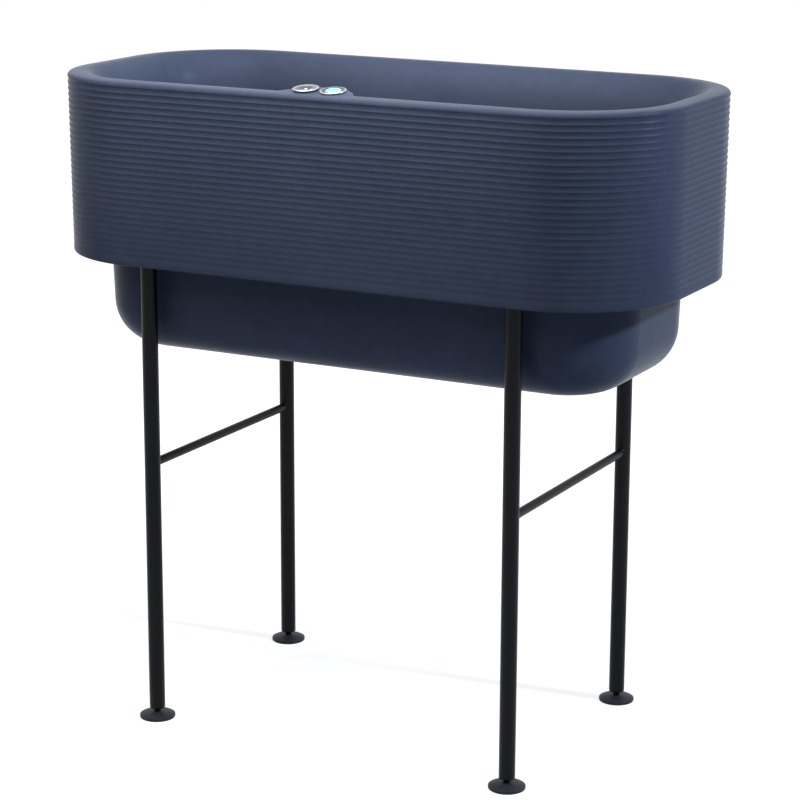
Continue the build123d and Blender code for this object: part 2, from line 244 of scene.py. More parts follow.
def makeTurnedMetal(name, look, centre, across):
    # turning marks in rings about an axis through centre; the colour at each radius is painted light:
    # it fades from a painted highlight on one side of the axis to painted shade on the other side
    tree = newFinish(name)
    place = tree.node("ShaderNodeTexCoord", out="Object")
    offset = vectorMath(tree, "SUBTRACT", place, centre, "Vector")
    along = vectorMath(tree, "DOT_PRODUCT", offset, across)
    reach = vectorMath(tree, "LENGTH", offset)
    radius = (reach * reach - along * along) ** 0.5
    rings = tree.node("ShaderNodeTexNoise", {"noise_dimensions": "1D"},
                      {"W": radius * look["grooves"], "Scale": 1.0, "Detail": 4.0, "Roughness": 0.7})
    haze = noise(tree, place, 260.0, 3.0, 0.6)
    # painted highlight and painted shade: the side of the axis a point lies on picks between the lit and the
    # shaded stops
    paintedLightSide = vectorMath(tree, "DOT_PRODUCT", offset, look["paintedLightWay"])
    shades = [tree.node("ShaderNodeValToRGB", {"stops": look[side]}, {0: radius / look["span"]})
              for side in ("paintedShadeStops", "paintedLitStops")]
    shade = mixColour(tree, ramp(tree, paintedLightSide / radius, *look["fade"]), *shades)
    dim = tree.node("ShaderNodeVectorMath", {"operation": "SCALE"}, {0: shade, "Scale": 0.72})
    tint = mixColour(tree, rings * 0.55 + haze * 0.25, shade, dim)
    roughness = rings * 0.14 + haze * 0.08 + (look["roughness"] - 0.10)
    return finishWith(tree, tint, roughness, ((rings, look["depth"]),), 1.0)


zincThread = {"dull": (0.33, 0.345, 0.36), "bright": (0.52, 0.525, 0.51), "roughness": 0.24}


def makeZincThread():
    tree = newFinish("zincThread")
    place = objectPlace(tree)
    spangle = noise(tree, place, 700.0, 2.0, 0.5)
    cloud = noise(tree, place, 60.0, 4.0, 0.65)
    blend = ramp(tree, cloud * 0.7 + spangle * 0.3, 0.35, 0.65)
    colour = mixColour(tree, blend, zincThread["dull"], zincThread["bright"])
    return finishWith(tree, colour, cloud * 0.20 + zincThread["roughness"], ((spangle, 0.00002),), 1.0)


cyanLens = {
    "middle": (0.13, 0.46, 0.56),
    "rim": (0.28, 0.55, 0.64),
    "roughness": 0.22,
    "specular": 0.10,
    "glow": 0.20,
    "rimFade": (0.0045, 0.0088),  # from the middle colour to the rim's
}


def makeLens():
    look = cyanLens
    tree = newFinish("cyanLens")
    place = objectPlace(tree, centre=middleOf("right_button_lens"))
    edge = ramp(tree, vectorMath(tree, "LENGTH", place), *look["rimFade"])
    swirl = noise(tree, place, 340.0, 3.0, 0.6)
    colour = mixColour(tree, edge * 0.85 + swirl * 0.10, look["middle"], look["rim"])
    return finishWith(tree, colour, swirl * 0.08 + look["roughness"], ((swirl, 0.00003),),
                      specular=look["specular"], glow=look["glow"])


def makeRubber(name, colour, roughness):
    tree = newFinish(name)
    place = objectPlace(tree)
    bloom = noise(tree, place, 90.0, 4.0, 0.65)
    grain = noise(tree, place, 1300.0, 2.0, 0.5)
    dusty = tuple(c * 2.2 for c in colour)
    tint = mixColour(tree, ramp(tree, bloom, 0.4, 0.7) * 0.5, colour, dusty)
    bumps = ((grain, 0.00003), (bloom, 0.00008))
    return finishWith(tree, tint, bloom * 0.14 + (roughness - 0.07), bumps)


turnedBrass = {"clean": (0.62, 0.46, 0.20), "tarnished": (0.36, 0.24, 0.10), "roughness": 0.22}


def makeBrass():
    tree = newFinish("turnedBrass")
    mark = noise(tree, objectPlace(tree, scale=(1, 1, 6)), 420.0, 3.0, 0.6)
    tarnish = ramp(tree, noise(tree, objectPlace(tree), 120.0, 4.0, 0.65), 0.42, 0.68)
    colour = mixColour(tree, tarnish, turnedBrass["clean"], turnedBrass["tarnished"])
    return finishWith(tree, colour, mark * 0.16 + turnedBrass["roughness"], ((mark, 0.00002),), 1.0)


tilt = math.radians(7.5)
deckUp = Vector((0, -math.sin(tilt), math.cos(tilt)))


def middleOf(node):
    low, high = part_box(node)
    return (low + high) / 2


satinAlloy = {
    "grooves": 1500.0,
    "depth": 0.000012,
    "roughness": 0.36,
    "span": 0.020,  # radius at the end of the bands
    # the way toward the painted highlight; below, colour stops by radius for the side with the painted
    # highlight, then for the side with painted shade
    "paintedLightWay": (-1.0, 0.0, 0.0),
    "fade": (-0.9, 0.3),
    "paintedLitStops": [
        (0.10, (0.80, 0.82, 0.86)), (0.12, (0.13, 0.15, 0.19)), (0.54, (0.14, 0.16, 0.20)),
        (0.585, (0.40, 0.42, 0.45)), (0.62, (0.30, 0.32, 0.35)), (0.72, (0.44, 0.46, 0.50)),
        (0.86, (0.60, 0.62, 0.66))],
    "paintedShadeStops": [
        (0.10, (0.80, 0.82, 0.86)), (0.12, (0.045, 0.050, 0.060)), (0.40, (0.10, 0.11, 0.13)),
        (0.585, (0.34, 0.36, 0.40)), (0.62, (0.24, 0.26, 0.30)), (0.72, (0.42, 0.44, 0.48)),
        (0.86, (0.62, 0.64, 0.68))],
}
brightPlate = {
    "grooves": 900.0,
    "depth": 0.000004,
    "roughness": 0.16,
    "span": 0.025,
    # the way toward the painted highlight; below, colour stops by radius for the side with the painted
    # highlight, then for the side with painted shade
    "paintedLightWay": (1.0, 0.2, 0.0),
    "fade": (-0.3, 0.6),
    "paintedLitStops": [
        (0.40, (0.72, 0.78, 0.80)), (0.476, (0.74, 0.79, 0.82)), (0.49, (0.22, 0.22, 0.25)),
        (0.61, (0.20, 0.20, 0.23)), (0.655, (0.74, 0.72, 0.76)), (0.80, (0.66, 0.68, 0.72))],
    "paintedShadeStops": [
        (0.40, (0.40, 0.50, 0.55)), (0.476, (0.34, 0.38, 0.42)), (0.49, (0.14, 0.13, 0.16)),
        (0.61, (0.19, 0.18, 0.21)), (0.655, (0.76, 0.73, 0.77)), (0.80, (0.66, 0.68, 0.72))],
}
finishes = {
    "tub_plastic": makeMouldedSlate(),
    "black_tube": makePowderCoat(),
    "foot_plastic": makeFootPlastic(),
    "zinc": makeZincThread(),
    "satin_metal": makeTurnedMetal("satinAlloy", satinAlloy, middleOf("left_button_cap"), deckUp),
    "chrome_trim": makeTurnedMetal("brightPlate", brightPlate, middleOf("right_button_cap"), deckUp),
    "clear_lens": makeLens(),
    "black_rubber": makeRubber("sealRubber", (0.012, 0.012, 0.013), 0.66),
    "black_plastic": makeRubber("nutPlastic", (0.016, 0.016, 0.018), 0.48),
    "brass_insert": makeBrass(),
    "plug_rubber": makeRubber("plugRubber", (0.024, 0.025, 0.028), 0.58),
}
slotOf = {part["node"]: part["material_slot"] for part in frame["record"]["subparts"]}
for nodeName, thing in frame["nodes"].items():
    thing.data.materials.clear()
    thing.data.materials.append(finishes[slotOf[nodeName]])
print("finishes:", len(finishes))


# making and placing pieces

def placed(name, data):
    thing = bpy.data.objects.new(name, data)
    scene.collection.objects.link(thing)
    return thing


def newPiece(name, mesh, nodes, body, finish, sharp):  # edges over sharp degrees stay crisp
    piece = placed(name, mesh)
    mesh.materials.clear()
    mesh.materials.append(finishes[finish])
    mesh.shade_smooth()
    mesh.set_sharp_from_angle(angle=math.radians(sharp))
    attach(piece, body)
    if nodes:
        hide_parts(*nodes)
    return piece


def meshFrom(bm, name):
    bmesh.ops.remove_doubles(bm, verts=bm.verts, dist=1e-6)
    bmesh.ops.recalc_face_normals(bm, faces=bm.faces)
    mesh = bpy.data.meshes.new(name)
    bm.to_mesh(mesh)
    bm.free()
    return mesh


def circle(radius, steps, phase=0.0):  # (x, y) pairs round a circle
    angles = [phase + 2 * math.pi * k / steps for k in range(steps)]
    return [(radius * math.cos(a), radius * math.sin(a)) for a in angles]


def bridge(bm, one, two):  # faces between two rings of points, either of which may be one point
    steps = max(len(one), len(two))
    for k in range(steps):
        n = (k + 1) % steps
        if len(one) == 1:
            bm.faces.new((one[0], two[n], two[k]))
        elif len(two) == 1:
            bm.faces.new((one[k], one[n], two[0]))
        else:
            bm.faces.new((one[k], one[n], two[n], two[k]))


def skin(bm, rings, closed):  # faces from each ring to the next, and back to the first when closed
    for one, two in zip(rings, rings[1:] + rings[:1] if closed else rings[1:]):
        bridge(bm, one, two)


def turned(bm, profile, centre, axis=upright, steps=48, phase=0.0):
    # a round form: profile is (radius, height) pairs, closed on the axis or on itself
    spin = upright.rotation_difference(axis).to_matrix()
    rings = []
    for radius, height in profile:
        points = circle(radius, steps, phase) if radius > 1e-7 else [(0, 0)]
        rings.append([bm.verts.new(Vector(centre) + spin @ Vector((x, y, height))) for x, y in points])
    skin(bm, rings, len(rings[0]) > 1 and len(rings[-1]) > 1)
    return bm


def pin(radius, low, high):  # the profile of a plain round or six-sided pin
    return [(0, low), (radius, low), (radius, high), (0, high)]


def turnedPiece(name, profile, centre, nodes, body, finish, sharp, steps, axis=upright):
    mesh = meshFrom(turned(bmesh.new(), profile, centre, axis, steps), name)
    return newPiece(name, mesh, nodes, body, finish, sharp)


def arc(centre, radius, start, end, steps):  # points of an arc, angles in degrees
    out = []
    for k in range(steps + 1):
        angle = math.radians(start + (end - start) * k / steps)
        out.append((centre[0] + radius * math.cos(angle), centre[1] + radius * math.sin(angle)))
    return out


def roundedLine(points, radii, steps=8):  # a polyline with rounded inner corners
    out = [points[0]]
    for k in range(1, len(points) - 1):
        before, here, after = (Vector(p) for p in points[k - 1:k + 2])
        one, two = (before - here).normalized(), (after - here).normalized()
        half = math.acos(max(-1, min(1, one.dot(two)))) / 2
        reach = radii[k - 1] / math.tan(half)
        middle = here + (one + two).normalized() * (radii[k - 1] / math.sin(half))
        start, end = here + one * reach - middle, here + two * reach - middle
        for s in range(steps + 1):
            way = start.normalized().slerp(end.normalized(), s / steps)
            out.append(tuple(middle + way * radii[k - 1]))
    out.append(points[-1])
    return out


def prism(bm, outline, plane, low, high):
    # a closed straight-sided form over an outline of (x, y) pairs, given by plane(x, y, height)
    lower = [bm.verts.new(plane(x, y, low)) for x, y in outline]
    upper = [bm.verts.new(plane(x, y, high)) for x, y in outline]
    bm.faces.new(lower)
    top = bm.faces.new(upper)
    bridge(bm, lower, upper)
    return top


def solid(bm, name):  # a closed form to carve, or to carve with
    return placed(name, meshFrom(bm, name))


def settled(thing):  # the mesh that a thing's modifiers give; the thing itself goes
    graph = bpy.context.evaluated_depsgraph_get()
    mesh = bpy.data.meshes.new_from_object(thing.evaluated_get(graph))
    bpy.data.objects.remove(thing)
    return mesh


def carve(thing, *steps):  # joins or cuts closed helper meshes, in order
    for operation, cutter in steps:
        change = thing.modifiers.new("carve", "BOOLEAN")
        change.operation, change.solver, change.object = operation, "EXACT", cutter
    mesh = settled(thing)
    for _, cutter in steps:
        bpy.data.objects.remove(cutter)
    return mesh


def pointMesh(points, edges=()):
    mesh = bpy.data.meshes.new("points")
    mesh.from_pydata(points, edges, [])
    return mesh


def newTree(name, sizes):  # a geometry tree, and wires from its base mesh and from each size
    group = bpy.data.node_groups.new(name, "GeometryNodeTree")
    group.interface.new_socket("Geometry", in_out="INPUT", socket_type="NodeSocketGeometry")
    for label, value in sizes.items():
        kind = "NodeSocketInt" if isinstance(value, int) else "NodeSocketFloat"
        group.interface.new_socket(label, in_out="INPUT", socket_type=kind).default_value = value
    group.interface.new_socket("Geometry", in_out="OUTPUT", socket_type="NodeSocketGeometry")
    tree = Tree(group)
    start = group.nodes.new("NodeGroupInput")
    return tree, *[Wire(tree, s) for s in start.outputs if s.name]


def endTree(tree, geometry, finish):
    real = tree.node("GeometryNodeRealizeInstances", None, {"Geometry": geometry})
    painted = tree.node("GeometryNodeSetMaterial", None, {"Geometry": real, "Material": finishes[finish]})
    tree.node("NodeGroupOutput", None, {0: painted})


def grow(tree, base, sizes):  # runs a tree on a base mesh and gives the plain mesh
    thing = placed("grow", base)
    shape = thing.modifiers.new("shape", "NODES")
    shape.node_group = tree.tree
    for item in tree.tree.interface.items_tree:
        if item.name in sizes:
            shape[item.identifier] = sizes[item.name]
    return settled(thing)


def upBy(tree, height):
    return tree.node("ShaderNodeCombineXYZ", None, {"Z": height})


def lifted(tree, geometry, height):
    return tree.node("GeometryNodeTransform", None, {"Geometry": geometry, "Translation": upBy(tree, height)})


def joined(tree, *parts):
    return tree.node("GeometryNodeJoinGeometry", None, {"Geometry": parts})


def onPoints(tree, points, instance):
    return tree.node("GeometryNodeInstanceOnPoints", None, {"Points": points, "Instance": instance})


def rod(tree, steps, radius, depth):
    return tree.node("GeometryNodeMeshCylinder", None,
                     {"Vertices": steps, "Radius": radius, "Depth": depth}, out="Mesh")


def cone(tree, steps, top, bottom, depth):
    return tree.node("GeometryNodeMeshCone", None, {
        "Vertices": steps, "Radius Top": top, "Radius Bottom": bottom, "Depth": depth}, out="Mesh")


def ridges(tree, ridge, length, pitch, first):  # a thread's ridge, again at every pitch
    turns = length / pitch - 0.5
    line = tree.node("GeometryNodeMeshLine", None, {
        "Count": turns.join("FLOOR", turns), "Start Location": upBy(tree, pitch * first),
        "Offset": upBy(tree, pitch)})
    return onPoints(tree, line, ridge)


# the tub

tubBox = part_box("tub_shell")
tub = {
    "halfLength": tubBox[1].x,
    "halfWidth": tubBox[1].y,
    "rimHeight": 0.900,
    "cornerRadius": 0.160,
    "wall": 0.005,
    "crestInset": 0.020,
    "crownRadius": 0.090,
    "shoulderRadius": 0.0055,
    "rollReach": 0.0339,  # how far the rolled rim leans into the basin
    "rollDrop": 0.060,  # and how far down it blends into the wall
    "skirtDepth": 0.2485,
    "skirtLean": 0.003,
    "basinFloor": 0.524,
    "draft": math.radians(2.05),
    "floorFillet": 0.058,
    "ribCount": 28,
    "ribPitch": 0.0083,
    "ribDepthTop": 0.00110,
    "ribDepthBottom": 0.00030,
    "ribSteps": 8,
    "cornerSteps": 24,
}


def rollLine(inset, steps):
    # the rim's roll down into the basin, foot first: a quarter ellipse that leaves the wall at its draft
    across, down = tub["rollReach"] - inset, tub["rollDrop"] - inset
    first = math.atan(down / across * math.tan(tub["draft"]))
    line = []
    for k in range(steps + 1):
        angle = first + (math.pi / 2 - first) * k / steps
        line.append((tub["cornerRadius"] - tub["crestInset"] - across * math.cos(angle),
                     tub["rimHeight"] - tub["rollDrop"] + down * math.sin(angle)))
    return line


def tubSection():
    # the wall's section: (distance from a corner's centre, height, place down the ribs or -1)
    t = tub
    rim, wall, draft, outer = t["rimHeight"], t["wall"], t["draft"], t["cornerRadius"]
    crown, shoulder, fillet = t["crownRadius"], t["shoulderRadius"], t["floorFillet"]
    crownAngle = math.asin((t["crestInset"] - shoulder) / (crown - shoulder))
    shoulderTop = rim - crown * (1 - math.cos(crownAngle))
    firstRib = shoulderTop - shoulder * math.cos(crownAngle)
    hem = rim - t["skirtDepth"]
    lean = t["skirtLean"] / (firstRib - hem)
    inner = outer - t["crestInset"]
    slope, crownEnd = math.degrees(draft), 90 - math.degrees(crownAngle)
    filletHeight = t["basinFloor"] + fillet
    roll = rollLine(0.0, 28)
    rollFoot = roll[0]
    filletX = rollFoot[0] - (rollFoot[1] - filletHeight) * math.tan(draft) - fillet / math.cos(draft)

    def face(height):
        return outer - lean * (firstRib - height)

    points = [(0.0, t["basinFloor"])] + arc((filletX, filletHeight), fillet, -90, -slope, 18)
    foot = points[-1]
    for k in range(1, 8):
        share = k / 8
        points.append((foot[0] + (rollFoot[0] - foot[0]) * share, foot[1] + (rollFoot[1] - foot[1]) * share))
    points += roll
    points += arc((inner, rim - crown), crown, 90, crownEnd, 8)[1:]
    points += arc((outer - shoulder, firstRib), shoulder, crownEnd, 0, 7)[1:-1]
    section = [(x, z, -1.0) for x, z in points]
    for k in range(t["ribCount"] * t["ribSteps"] + 1):
        height = firstRib - k * t["ribPitch"] / t["ribSteps"]
        section.append((face(height), height, k / t["ribSteps"]))
    # plain band and rounded hem, then back up inside
    bead, inside = wall / 2 - 0.0002, outer - wall
    bottom = [(face(hem + bead), hem + bead)]
    bottom += arc((face(hem) - bead, hem + bead), bead, 0, -90, 5)[1:]
    bottom += arc((face(hem) - wall + bead, hem + bead), bead, -90, -180, 5)
    turn = [(inside, firstRib - 0.004), (inside - 0.005, shoulderTop - wall + 0.0008), (inner, rim - wall)]
    bottom += roundedLine([bottom[-1]] + turn, [0.003, 0.003], 3)[1:]
    bottom += rollLine(wall, 14)[::-1][1:]
    bottom += arc((filletX, filletHeight), fillet + wall, -slope, -90, 12)
    bottom.append((0.0, t["basinFloor"] - wall))
    return section + [(x, z, -1.0) for x, z in bottom]


def sectionMesh():
    section = tubSection()
    mesh = pointMesh([(x, -z, 0) for x, z, _ in section], [(k, k + 1) for k in range(len(section) - 1)])
    place = mesh.attributes.new("ribPlace", "FLOAT", "POINT")
    place.data.foreach_set("value", [r for _, _, r in section])
    return mesh


def ribbedTubTree(sizes):
    tree, line, length, width, steps, ribs, deepest, least, floorTop, floorUnder = newTree("ribbedTub", sizes)
    # flutes pressed into the part of the section that is the skirt
    place = tree.node("GeometryNodeInputNamedAttribute", {"data_type": "FLOAT"}, {"Name": "ribPlace"})
    part = place.join("FRACT", place)
    press = part * (1 - part) * 4 * (deepest + (least - deepest) * (place / ribs))
    push = tree.node("ShaderNodeCombineXYZ", None, {"X": press * -1})
    onRibs = tree.node("FunctionNodeCompare", {"data_type": "FLOAT", "operation": "GREATER_EQUAL"},
                       {0: place, 1: 0.0})
    pressed = tree.node("GeometryNodeSetPosition", None,
                        {"Geometry": line, "Selection": onRibs, "Offset": push})
    section = tree.node("GeometryNodeMeshToCurve", None, {"Mesh": pressed})
    # the rectangle with round corners that it is drawn round
    rectangle = tree.node("GeometryNodeCurvePrimitiveQuadrilateral", None,
                          {"Width": length, "Height": width})
    path = tree.node("GeometryNodeFilletCurve", {"mode": "POLY"},
                     {"Curve": rectangle, "Count": steps, "Radius": 0.0004})
    wall = tree.node("GeometryNodeCurveToMesh", None, {"Curve": path, "Profile Curve": section})
    # the two faces of the basin's floor
    flat = tree.node("GeometryNodeFillCurve", {"mode": "NGONS"}, {"Curve": path})
    top = lifted(tree, flat, floorTop)
    under = lifted(tree, tree.node("GeometryNodeFlipFaces", None, {"Mesh": flat}), floorUnder)
    closed = tree.node("GeometryNodeMergeByDistance", None,
                       {"Geometry": joined(tree, wall, top, under), "Distance": 0.00001})
    endTree(tree, closed, "tub_plastic")
    return tree


deck = {
    "reach": 0.0425,  # from the deck's start on the crown to its inner edge, down the slope
    "start": 0.0045,  # faint ends, just under the crown
    "lip": 0.0035,
    "edge": 0.0028,
    "depth": 0.075,
    "wall": 0.003,
    "sink": 0.0002,
    "roomStart": 0.0078,  # the room under the deck begins this far down its slope
    "roomFront": -0.020,
    "rimRoomFront": 0.0068,
    "buttonHole": 0.01355,
    "buttonInset": 0.031,  # tub's outer face to the buttons' middles
}
deckStart = tub["crestInset"] - tub["crownRadius"] * math.sin(tilt)
deckOrigin = Vector((0, deckStart - tub["halfWidth"],
                     tub["rimHeight"] - tub["crownRadius"] * (1 - math.cos(tilt)) - deck["sink"]))
deckAlong = Vector((0, math.cos(tilt), math.sin(tilt)))
buttonLine = (deck["buttonInset"] - deckStart) / math.cos(tilt)


def onDeck(x, y, height):  # a point over the deck's slope, heights straight up
    place = deckOrigin + deckAlong * y
    return Vector((x, place.y, place.z + height))


def deckEdge():
    # the deck seen square on: a long hollow sweep on the left, a round shoulder on the right
    reach, start = deck["reach"], deck["start"]
    return roundedLine([
        (-0.100, start), (-0.0678, start), (-0.0326, reach), (0.0235, reach), (0.0425, 0.0270),
        (0.0555, start), (0.0750, start)],
        [0.045, 0.016, 0.020, 0.022, 0.009], 10)


def shrunk(line, distance):  # an open line moved sideways, to the right of its run
    out = []
    for k in range(len(line)):
        before, after = line[max(k - 1, 0)], line[min(k + 1, len(line) - 1)]
        run = (Vector(after) - Vector(before)).normalized()
        out.append((line[k][0] + run.y * distance, line[k][1] - run.x * distance))
    return out


def deckForms():
    # the deck as a closed block, and the room under it
    edge, lip = deckEdge(), deck["lip"]
    bm = bmesh.new()
    top = prism(bm, edge + [(edge[-1][0], lip), (edge[0][0], lip)], onDeck, -deck["depth"], 0.0)
    bm.normal_update()
    rim = [e for e in top.edges if max(v.co.y for v in e.verts) > onDeck(0, deck["start"] + 0.0001, 0).y]
    bmesh.ops.bevel(bm, geom=rim, offset=deck["edge"], segments=5, profile=0.5, affect="EDGES")
    block = solid(bm, "deckBlock")
    inner = shrunk(edge, deck["wall"])

    def hollow(name, front):
        line = [(x, y) for x, y in inner if y > deck["roomStart"]]
        line += [(line[-1][0], front), (line[0][0], front)]
        form = bmesh.new()
        prism(form, line, onDeck, -deck["depth"] - 0.01, -tub["wall"])
        return solid(form, name)

    return block, hollow("deckRoom", deck["roomFront"]), hollow("rimRoom", deck["rimRoomFront"])


underRim = {
    "ends": (-0.125, 0.092),  # along the tub, past the deck's two ends
    "low": 0.62,
    "high": 0.889,
    "lean": 0.0078,  # of the basin's wall, down to the low end
}


def underRimForm():  # the space between skirt and basin, over the deck's length
    t, low = tub, underRim["low"]
    skirt = t["cornerRadius"] - t["wall"] + 0.001
    line = [(skirt, low), (skirt, underRim["high"]),
            (t["cornerRadius"] - t["crestInset"], t["rimHeight"] - t["wall"])]
    line += rollLine(t["wall"], 16)[::-1][1:]
    line.append((line[-1][0] - underRim["lean"], low))
    bm = bmesh.new()
    base = -(t["halfWidth"] - t["cornerRadius"])
    ends = [[bm.verts.new((x, base - r, z)) for r, z in line] for x in underRim["ends"]]
    bm.faces.new(ends[0])
    bm.faces.new(ends[1])
    bridge(bm, *ends)
    return solid(bm, "underRim")


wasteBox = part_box("waste_flange")
waste = {
    "centre": ((wasteBox[0].x + wasteBox[1].x) / 2, (wasteBox[0].y + wasteBox[1].y) / 2),
    "seatRadius": 0.037,
    "seatDepth": 0.004,
    "boreRadius": 0.02105,
}
boss = {
    "fromLeg": 0.030,  # along the tub, from a leg's middle to its screw
    "inset": 0.026,  # from the tub's outer face
    "radius": 0.010,
    "lead": 0.001,
    "neck": 0.0045,  # its top, under the rim
    "taper": 0.0065,
    "pocket": 0.00695,  # to a corner of the insert's six sides
    "pocketDepth": 0.01205,
}
screwPlaces = []
for corner in corners:
    middle = middleOf(corner + "_leg")
    inward = math.copysign(boss["fromLeg"], middle.x)
    screwPlaces.append((middle.x - inward, math.copysign(tub["halfWidth"] - boss["inset"], middle.y)))
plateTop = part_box("front_left_plate")[1].z


def makeTub():
    t = tub
    floor, wall = t["basinFloor"], t["wall"]
    sizes = {
        "Straight Length": 2 * (t["halfLength"] - t["cornerRadius"]),
        "Straight Width": 2 * (t["halfWidth"] - t["cornerRadius"]),
        "Corner Steps": t["cornerSteps"], "Rib Count": t["ribCount"],
        "Rib Depth Top": t["ribDepthTop"], "Rib Depth Bottom": t["ribDepthBottom"],
        "Floor Top": floor, "Floor Underside": floor - wall,
    }
    shell = placed("tubBlank", grow(ribbedTubTree(sizes), sectionMesh(), sizes))
    block, room, rimRoom = deckForms()
    deckShell = placed("deckShell", carve(block, ("DIFFERENCE", room), ("DIFFERENCE", underRimForm())))
    # bosses for the leg plates, and the sunk seat of the waste
    centre, seat, bore = (*waste["centre"], 0), waste["seatRadius"], waste["boreRadius"]
    outer, sunk = seat + wall, floor - waste["seatDepth"]
    under = floor - wall - waste["seatDepth"]
    bm = bmesh.new()
    turned(bm, [(0, under), (outer - 0.002, under), (outer, under + 0.002), (outer, floor - 0.001),
                (0, floor - 0.001)], centre, steps=64)
    bossTop = t["rimHeight"] - wall + 0.0005
    for place in screwPlaces:
        turned(bm, [(0, plateTop), (boss["radius"] - boss["lead"], plateTop),
                    (boss["radius"], plateTop + boss["lead"]), (boss["radius"], bossTop - boss["taper"]),
                    (boss["neck"], bossTop), (0, bossTop)], (*place, 0), steps=32)
    added = solid(bm, "added")
    bm = bmesh.new()
    turned(bm, [(0, floor + 0.01), (seat + 0.001, floor + 0.01), (seat + 0.001, floor), (seat, floor - 0.001),
                (seat, sunk), (bore, sunk), (bore, floor - 0.02), (0, floor - 0.02)], centre, steps=64)
    hole = deck["buttonHole"]
    for cap in ("left_button_cap", "right_button_cap"):
        turned(bm, pin(hole, -0.018, 0.004), onDeck(middleOf(cap).x, buttonLine, 0), deckUp, steps=48)
    pocket = pin(boss["pocket"], plateTop - 0.002, plateTop + boss["pocketDepth"])
    for place in screwPlaces:
        turned(bm, pocket, (*place, 0), steps=6, phase=math.pi / 6)
    cut = solid(bm, "cut")
    mesh = carve(shell, ("DIFFERENCE", rimRoom), ("UNION", deckShell), ("UNION", added), ("DIFFERENCE", cut))
    bm = bmesh.new()
    bm.from_mesh(mesh)
    bmesh.ops.remove_doubles(bm, verts=bm.verts, dist=2e-6)
    bmesh.ops.dissolve_degenerate(bm, edges=bm.edges, dist=1e-6)
    bmesh.ops.delete(bm, geom=[e for e in bm.edges if not e.link_faces], context="EDGES")
    bmesh.ops.delete(bm, geom=[v for v in bm.verts if not v.link_faces], context="VERTS")
    bm.to_mesh(mesh)
    bm.free()
    return newPiece("tub", mesh, ["tub_shell"], "tub", "tub_plastic", 22.0)


tubPiece = makeTub()
print("tub:", len(tubPiece.data.polygons), "faces")


# legs, their plates, screws and crossbars

leg = {
    "radius": 0.011,
    "lip": 0.0016,  # rounding of the open lower end
    "boreRadius": 0.0053,
    "boreDepth": 0.020,
    "barRadius": 0.006,
    "barRings": 13,
    "plateCorner": 0.005,
    "plateEdge": 0.0008,
    "boltHole": 0.0043,
}
bead = {"Bead Radius": 0.0011, "Ripple": 0.00022, "Ripple Pitch": 3.0, "Seed": 0}  # pitch in path steps


def beadTree():  # a weld bead that follows a closed path, with its small ripples
    tree, line, radius, ripple, pitch, seed = newTree("weldBead", bead)
    path = tree.node("GeometryNodeMeshToCurve", None, {"Mesh": line})
    index = tree.node("GeometryNodeInputIndex")
    turns = index * (2 * math.pi) / pitch
    chance = tree.node("FunctionNodeRandomValue", {"data_type": "FLOAT"},
                       {2: -0.5, 3: 0.5, "ID": index, "Seed": seed}, out=1)
    swell = radius + ripple * (turns.join("SINE", turns) + chance)
    sized = tree.node("GeometryNodeSetCurveRadius", None, {"Curve": path, "Radius": swell})
    ring = tree.node("GeometryNodeCurvePrimitiveCircle", None, {"Resolution": 8, "Radius": 1.0})
    grown = tree.node("GeometryNodeCurveToMesh", None, {
        "Curve": sized, "Profile Curve": ring, "Scale": tree.node("GeometryNodeInputRadius")})
    endTree(tree, grown, "black_tube")
    return tree


beadShape = beadTree()


def addBead(bm, points, seed):
    path = pointMesh(points, [(k, (k + 1) % len(points)) for k in range(len(points))])
    grown = grow(beadShape, path, {**bead, "Seed": seed})
    bm.from_mesh(grown)
    bpy.data.meshes.remove(grown)


def pieceName(part, last):  # front_left and tube give front-left-tube
    return part.replace("_", "-") + "-" + last


for number, corner in enumerate(corners):
    middle, (low, high) = middleOf(corner + "_leg"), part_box(corner + "_leg")
    x, y, base, top = middle.x, middle.y, low.z, high.z
    r, lip, bore, roof = leg["radius"], leg["lip"], leg["boreRadius"], base + leg["boreDepth"]
    profile = [(0, roof), (bore, roof), (bore, base + 0.0006), (bore + 0.0006, base)]
    profile += arc((r - lip, base + lip), lip, -90, 0, 5)
    profile += [(r, base + (top - base) * k / 6) for k in range(1, 6)] + [(r, top), (0, top)]
    bm = turned(bmesh.new(), profile, (x, y, 0), steps=40)
    addBead(bm, [(x + across, y + along, top - 0.0006) for across, along in circle(r, 60)], number)
    newPiece(pieceName(corner, "tube"), meshFrom(bm, "tube"), [corner + "_leg"], "tub", "black_tube", 40)


def saddle(x, z, rearLeg, radius, share, gap, steps):
    # points round a crossbar, shaped to the legs' tubes; share is -1 at the front leg, 1 at the rear
    out = []
    for across, up in circle(radius, steps):
        reach = rearLeg - math.sqrt(leg["radius"] ** 2 - across ** 2) - gap
        out.append((x + across, share * reach, z + up))
    return out


for number, side in enumerate(("left", "right")):
    middle, rearLeg = middleOf(side + "_crossbar"), middleOf("rear_" + side + "_leg").y
    bar = (middle.x, middle.z, rearLeg)
    bm = bmesh.new()
    rings = []
    for k in range(leg["barRings"]):
        points = saddle(*bar, leg["barRadius"], -1 + 2 * k / (leg["barRings"] - 1), 0.00005, 28)
        rings.append([bm.verts.new(point) for point in points])
    skin(bm, rings, False)
    for ring in (rings[0], rings[-1]):
        bridge(bm, ring, [bm.verts.new(sum((v.co for v in ring), Vector()) / len(ring))])
    for way in (-1, 1):
        addBead(bm, saddle(*bar, leg["barRadius"] + 0.0003, way, 0.0003, 42), 10 + number)
    newPiece(pieceName(side, "crossbar"), meshFrom(bm, "crossbar"), [side + "_crossbar"],
             "tub", "black_tube", 40)

